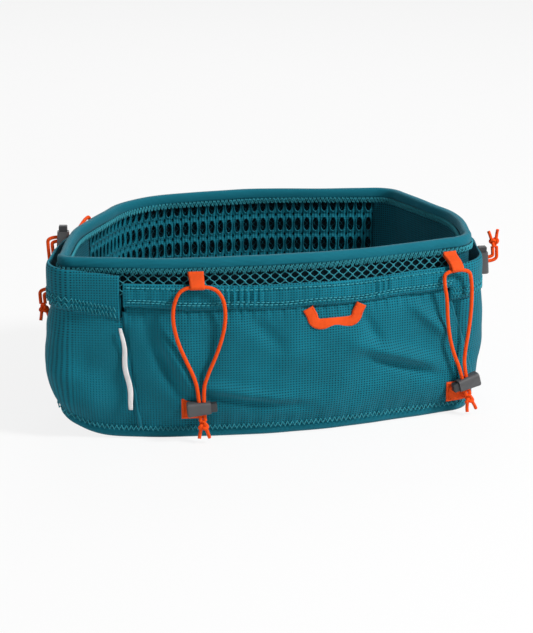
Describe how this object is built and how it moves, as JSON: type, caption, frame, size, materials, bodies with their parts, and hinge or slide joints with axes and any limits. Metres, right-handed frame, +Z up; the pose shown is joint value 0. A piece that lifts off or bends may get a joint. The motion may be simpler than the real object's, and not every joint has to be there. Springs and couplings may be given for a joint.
{
  "type": "waist pack",
  "caption": "Soft ring-shaped stretch waist pack with mesh pockets all round, bound edges, a pull loop and elastic cord loops with cord locks.",
  "frame": {"origin": "on the floor under the middle of the whole pack", "axes": "+Z up with the waist opening's axis, +X along the wide way, -Y out of the face with the pull loop"},
  "size_m": [0.3464, 0.2222, 0.13],
  "materials": {
    "perforated_mesh": "fine perforated polyester mesh, petrol blue",
    "stretch_mesh": "fine stretch mesh, dark petrol",
    "spacer_mesh": "knitted spacer mesh with long oval holes",
    "binding_tape": "smooth folded elastic binding",
    "elastic_webbing": "flat woven elastic",
    "shock_cord": "braided elastic cord",
    "orange_tape": "narrow woven tape",
    "reflective_tape": "silver grey retroreflective strip",
    "grey_plastic": "satin moulded nylon",
    "spring_steel": "drawn spring wire"
  },
  "bodies": {
    "pack": {"bottom_binding": "binding_tape", "far_hem": "perforated_mesh", "far_hem_elastic": "elastic_webbing", "far_pocket": "perforated_mesh", "far_spacer_panel": "spacer_mesh", "left_flank_band": "perforated_mesh", "left_flank_pocket": "perforated_mesh", "left_lower_anchor_tape": "orange_tape", "left_lower_cord": "shock_cord", "left_lower_tab": "orange_tape", "left_stretch_wing": "stretch_mesh", "left_upper_anchor_tape": "orange_tape", "left_upper_cord": "shock_cord", "left_upper_tab": "orange_tape", "near_hem": "perforated_mesh", "near_hem_elastic": "elastic_webbing", "near_left_anchor_tape": "orange_tape", "near_left_tab": "orange_tape", "near_pocket": "perforated_mesh", "near_right_anchor_tape": "orange_tape", "near_right_tab": "orange_tape", "near_spacer_panel": "spacer_mesh", "reflective_strip": "reflective_tape", "right_flank_band": "perforated_mesh", "right_flank_pocket": "perforated_mesh", "right_side_anchor_tape": "orange_tape", "right_side_cord": "shock_cord", "right_side_tab": "orange_tape", "right_stretch_wing": "stretch_mesh", "top_binding": "binding_tape"},
    "pull_loop": {"pull_loop": "orange_tape"},
    "near_left_lock": {"near_left_lock_barrel": "grey_plastic", "near_left_lock_spring": "spring_steel"},
    "near_left_button": {"near_left_lock_button": "grey_plastic"},
    "near_left_cord_loop": {"near_left_cord": "shock_cord"},
    "near_right_lock": {"near_right_lock_barrel": "grey_plastic", "near_right_lock_spring": "spring_steel"},
    "near_right_button": {"near_right_lock_button": "grey_plastic"},
    "near_right_cord_loop": {"near_right_cord": "shock_cord"},
    "left_upper_lock": {"left_upper_lock_barrel": "grey_plastic", "left_upper_lock_spring": "spring_steel"},
    "left_upper_button": {"left_upper_lock_button": "grey_plastic"},
    "left_lower_lock": {"left_lower_lock_barrel": "grey_plastic", "left_lower_lock_spring": "spring_steel"},
    "left_lower_button": {"left_lower_lock_button": "grey_plastic"},
    "right_side_lock": {"right_side_lock_barrel": "grey_plastic", "right_side_lock_spring": "spring_steel"},
    "right_side_button": {"right_side_lock_button": "grey_plastic"}
  },
  "joints": [
    {"name": "pull_loop_flip", "type": "hinge", "parent": "pack", "child": "pull_loop", "pos_m": [0.02145, -0.1056, 0.0902], "axis": [-0.9946, -0.1036, 0], "range_deg": [0, 90]},
    {"name": "near_left_loop_swing", "type": "hinge", "parent": "pack", "child": "near_left_cord_loop", "pos_m": [-0.07534, -0.1065, 0.1098], "axis": [-0.9957, 0.0928, 0], "range_deg": [0, 60]},
    {"name": "near_left_lock_slide", "type": "slide", "parent": "near_left_cord_loop", "child": "near_left_lock", "axis": [-0.0285, 0.0027, 0.9996], "range_m": [0, 0.055], "deforming": ["near_left_cord"]},
    {"name": "near_left_button_press", "type": "slide", "parent": "near_left_lock", "child": "near_left_button", "axis": [-0.9933, 0.0926, -0.0698], "range_m": [0, 0.002], "stiffness_N_per_m": 300, "springref_m": -0.003, "deforming": ["near_left_lock_spring", "near_left_cord"]},
    {"name": "near_right_loop_swing", "type": "hinge", "parent": "pack", "child": "near_right_cord_loop", "pos_m": [0.11264, -0.09323, 0.1105], "axis": [-0.9821, -0.1884, 0], "range_deg": [0, 60]},
    {"name": "near_right_lock_slide", "type": "slide", "parent": "near_right_cord_loop", "child": "near_right_lock", "axis": [-0.1079, -0.0207, 0.9939], "range_m": [0, 0.055], "deforming": ["near_right_cord"]},
    {"name": "near_right_button_press", "type": "slide", "parent": "near_right_lock", "child": "near_right_button", "axis": [0.9486, 0.182, 0.2588], "range_m": [0, 0.002], "stiffness_N_per_m": 300, "springref_m": -0.003, "deforming": ["near_right_lock_spring", "near_right_cord"]},
    {"name": "left_upper_lock_slide", "type": "slide", "parent": "pack", "child": "left_upper_lock", "axis": [0.9829, -0.1844, 0], "range_m": [0, 0.002], "deforming": ["left_upper_cord"]},
    {"name": "left_upper_button_press", "type": "slide", "parent": "left_upper_lock", "child": "left_upper_button", "axis": [0, 0, -1], "range_m": [0, 0.002], "stiffness_N_per_m": 300, "springref_m": -0.003, "deforming": ["left_upper_lock_spring", "left_upper_cord"]},
    {"name": "left_lower_lock_slide", "type": "slide", "parent": "pack", "child": "left_lower_lock", "axis": [0.9829, -0.1844, 0], "range_m": [0, 0.002], "deforming": ["left_lower_cord"]},
    {"name": "left_lower_button_press", "type": "slide", "parent": "left_lower_lock", "child": "left_lower_button", "axis": [0, 0, -1], "range_m": [0, 0.002], "stiffness_N_per_m": 300, "springref_m": -0.003, "deforming": ["left_lower_lock_spring", "left_lower_cord"]},
    {"name": "right_side_lock_slide", "type": "slide", "parent": "pack", "child": "right_side_lock", "axis": [-0.9994, 0.0347, 0], "range_m": [0, 0.002], "deforming": ["right_side_cord"]},
    {"name": "right_side_button_press", "type": "slide", "parent": "right_side_lock", "child": "right_side_button", "axis": [0, 0, -1], "range_m": [0, 0.002], "stiffness_N_per_m": 300, "springref_m": -0.003, "deforming": ["right_side_lock_spring", "right_side_cord"]}
  ]
}
